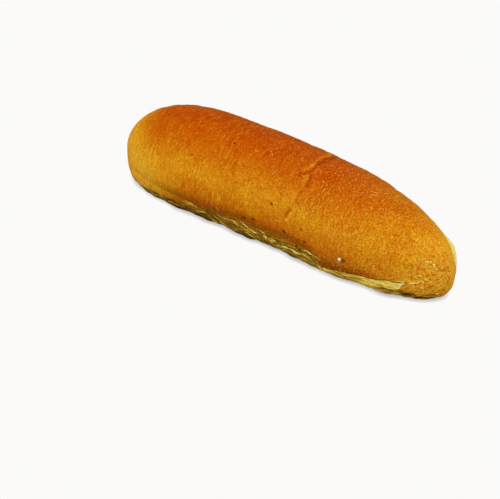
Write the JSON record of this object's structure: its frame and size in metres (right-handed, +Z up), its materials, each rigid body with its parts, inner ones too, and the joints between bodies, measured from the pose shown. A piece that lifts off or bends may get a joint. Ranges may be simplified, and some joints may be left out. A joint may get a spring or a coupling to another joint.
{
  "type": "mini baguette",
  "caption": "Small soft-crusted baguette roll, whole and uncut, with one blunt and one low tapered end and a flat base.",
  "frame": {"origin": "centre of the bounding box in X and Y, on the flat base that the roll rests on", "axes": "+X along the roll towards its low tapered end, +Z up from the base, -Y the side with the open torn band and the fold"},
  "size_m": [0.18, 0.0498, 0.0445],
  "materials": {
    "crust": "soft baked crust, orange-brown with a low satin sheen, and a pale torn band above the base"
  },
  "bodies": {
    "root": {"mini_baguette": "crust"}
  },
  "joints": []
}
